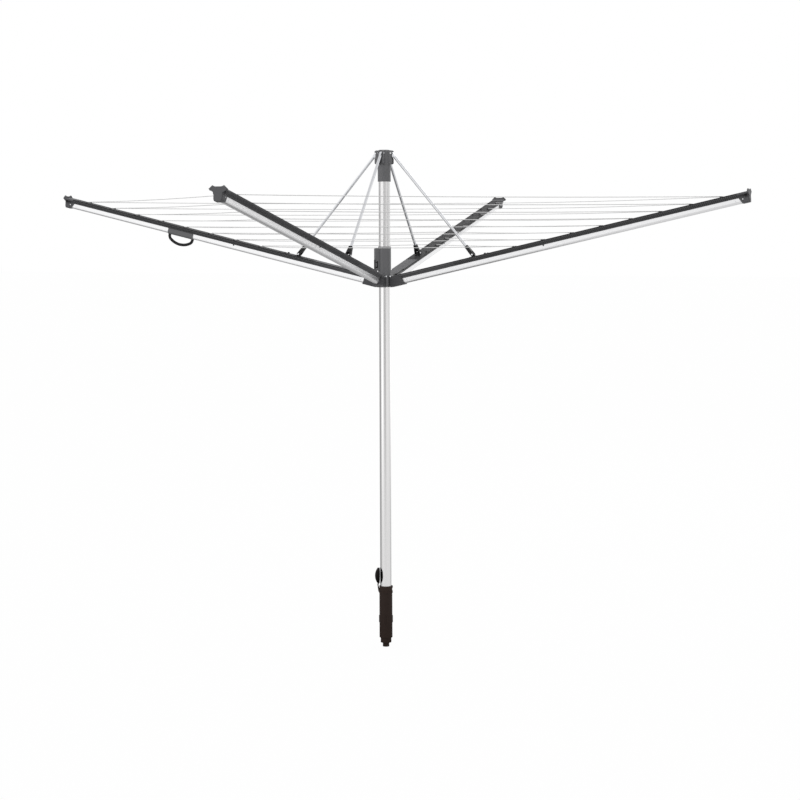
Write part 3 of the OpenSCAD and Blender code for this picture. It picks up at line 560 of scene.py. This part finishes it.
def bevelled_box(bm, place, size, bevel):
    """Adds a box with rounded edges; the place is its middle, sizes in millimetres."""
    made = bmesh.ops.create_cube(bm, size=1, matrix=place @ Matrix.Diagonal(
        (size[0] * MM, size[1] * MM, size[2] * MM, 1)))
    edges = {edge for vert in made["verts"] for edge in vert.link_edges}
    bmesh.ops.bevel(bm, geom=list(edges), offset=bevel * MM, segments=2, profile=0.5,
                    affect="EDGES", clamp_overlap=True)


lever_low, lever_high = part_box("latch_lever")
lever_mid = (lever_low.z + lever_high.z) / 2
# Painted shade: thin black sheets on the housing's sides stand for a shadowed outline.
bm = bmesh.new()
for hand in (-1, 1):
    aside = hand * (HOUSING_HALF + SHADE_SHEET_T / 2 - SHADE_SHEET_SUNK)
    for out, above, width, height in SHADE_SHEET_BOXES:
        place = LATCH_TURN @ Matrix.Translation((out * MM, aside * MM, lever_mid + above * MM))
        bevelled_box(bm, place, (width, SHADE_SHEET_T, height), SHADE_SHEET_BEVEL)
piece("latch_painted_shade_sheets", bm, BLACK_NYLON, "slider", smooth=False)

# %% [markdown]
# ### The latch's spring
# A spring is a circle spun about an axis while it climbs. It stands between the pocket's floor
# and the back of the lever.

# %% Latch spring
WIRE_R, TURNS, TURN_STEPS = 0.5 * MM, 5, 12
spring_low, spring_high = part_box("latch_spring")
outward = LATCH_TURN @ Vector((1, 0, 0))
coil_r = (spring_high.z - spring_low.z) / 2
coil_len = (spring_high.x - spring_low.x) / abs(outward.x) - 2 * coil_r
floor_end = (spring_low + spring_high) / 2 - outward * coil_len / 2
climb = (coil_len - 2 * WIRE_R) / (TURNS * TURN_STEPS)
bm = bmesh.new()
end = ring(bm, WIRE_R, 6, Matrix.Translation((coil_r - WIRE_R, 0, WIRE_R))
           @ Matrix.Rotation(math.pi / 2, 4, "X"))
bmesh.ops.spin(bm, geom=end, cent=(0, 0, 0), axis=(0, 0, 1), dvec=(0, 0, climb),
               angle=2 * math.pi * TURNS, steps=TURNS * TURN_STEPS, space=Matrix.Identity(4))
bmesh.ops.holes_fill(bm, edges=bm.edges)
bmesh.ops.transform(bm, verts=bm.verts, matrix=(
    Matrix.Translation(floor_end) @ LATCH_TURN @ Matrix.Rotation(math.pi / 2, 4, "Y")))
spring = piece("latch_coil", bm, STEEL, "slider")
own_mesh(spring)
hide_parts("latch_spring")

# %% [markdown]
# ### The lines
# Every line runs from one arm to the next, drawn tight by a spring inside the arm, so it sags
# only a few millimetres. When the dryer closes the cord slides back into both arms. A single
# mesh can't follow two arms, so each arm gets its own half of every line: a thin tube that starts
# in the guide and ends in the middle. The tube is a ring of eight points, pulled step by step
# along a shallow parabola.

# %% Lines
LINE_R, LINE_SIDES, LINE_STEPS = 1.4 * MM, 8, 12
LINE_FIRST, LINE_PITCH, LINE_COUNT = 598.16 * MM, 127 * MM, 8
LINE_UP, GUIDE_OUT = 4.125 * MM, 21 * MM
LINE_STUB, LINE_GAP = 12 * MM, 0.2 * MM
SAG, SAG_PER_METRE = 2 * MM, 3 * MM


def line_start(radius):
    """The point of a line's guide, for the arm along +X, and half the line's length."""
    along = (radius - HINGE[0] + LINE_UP * math.sin(ARM_RISE)) / math.cos(ARM_RISE)
    height = HINGE[2] + along * math.sin(ARM_RISE) + LINE_UP * math.cos(ARM_RISE)
    return Vector((radius, GUIDE_OUT, height)), (radius - GUIDE_OUT) / math.sqrt(2)


def line_tube(length, sag):
    """A tube along +X that dips by sag at its far end, where it is level."""
    bm = bmesh.new()
    end = ring(bm, LINE_R, LINE_SIDES, Matrix.Rotation(math.pi / 2, 4, "Y"))
    for step in range(LINE_STEPS):
        near, far = (1 - step / LINE_STEPS) ** 2, (1 - (step + 1) / LINE_STEPS) ** 2
        end = pull(bm, end, (length / LINE_STEPS, 0, -sag * (near - far)))
    bmesh.ops.holes_fill(bm, edges=bm.edges)
    return bm


total = 0
for number, side in enumerate(SIDES):
    for hand, word in ((1, "a"), (-1, "b")):
        for k in range(LINE_COUNT):
            start, length = line_start(LINE_FIRST + k * LINE_PITCH)
            start.y *= hand
            place = (Matrix.Rotation(math.radians(90 * number), 4, "Z")
                     @ Matrix.Translation(start)
                     @ Matrix.Rotation(math.radians(135 * hand), 4, "Z"))
            bm = line_tube(length - LINE_GAP, SAG + SAG_PER_METRE * length)
            bmesh.ops.transform(bm, matrix=place, verts=bm.verts)
            half = piece(f"{side}_line_{k + 1}{word}", bm, CORD, side + "_arm")
            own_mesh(half)
            total += length
    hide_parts(side + "_lines")
print("line in all, m", round(total, 2))

# %% [markdown]
# ### The grip on the left arm
# A bent round bar hangs under its bracket, wide enough for a hand. Spinning a circle about one
# centre after another gives exactly the bends of a real bar: a tight bend, a long bow and a
# tight bend again.

# %% Grip
BAR_R, BAR_SIDES, BAR_HALF, BAR_DROP = 6.5 * MM, 20, 59.5 * MM, 3 * MM
BEND_R, BEND_STEPS, BOW_R, BOW_STEPS = 22 * MM, 8, 90 * MM, 20
HANDLE_AT, HANDLE_V = 985 * MM, -46 * MM
bow_angle = math.acos((BAR_HALF - BEND_R) / (BOW_R - BEND_R))
bow_v = (BOW_R - BEND_R) * math.sin(bow_angle)


def sweep(bm, edges, centre, angle, steps):
    """Spins a tube's open end about a centre in the side view; returns the new open end."""
    made = bmesh.ops.spin(bm, geom=edges, cent=centre, axis=(0, 1, 0), dvec=(0, 0, 0),
                          angle=angle, steps=steps, space=Matrix.Identity(4))["geom_last"]
    return [item for item in made if isinstance(item, bmesh.types.BMEdge)]


bm = bmesh.new()
end = ring(bm, BAR_R, BAR_SIDES, Matrix.Translation((BAR_HALF, 0, 0)))
end = pull(bm, end, (0, 0, -BAR_DROP))
end = sweep(bm, end, (BAR_HALF - BEND_R, 0, -BAR_DROP), bow_angle, BEND_STEPS)
end = sweep(bm, end, (0, 0, bow_v - BAR_DROP), math.pi - 2 * bow_angle, BOW_STEPS)
end = sweep(bm, end, (BEND_R - BAR_HALF, 0, -BAR_DROP), bow_angle, BEND_STEPS)
pull(bm, end, (0, 0, BAR_DROP))
bmesh.ops.holes_fill(bm, edges=bm.edges)
bmesh.ops.transform(bm, matrix=arm_frame("left") @ Matrix.Translation((HANDLE_AT, 0, HANDLE_V)),
                    verts=bm.verts)
grip = piece("grip_bar", bm, BLACK_NYLON, "left_arm")
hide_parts("handle_loop")
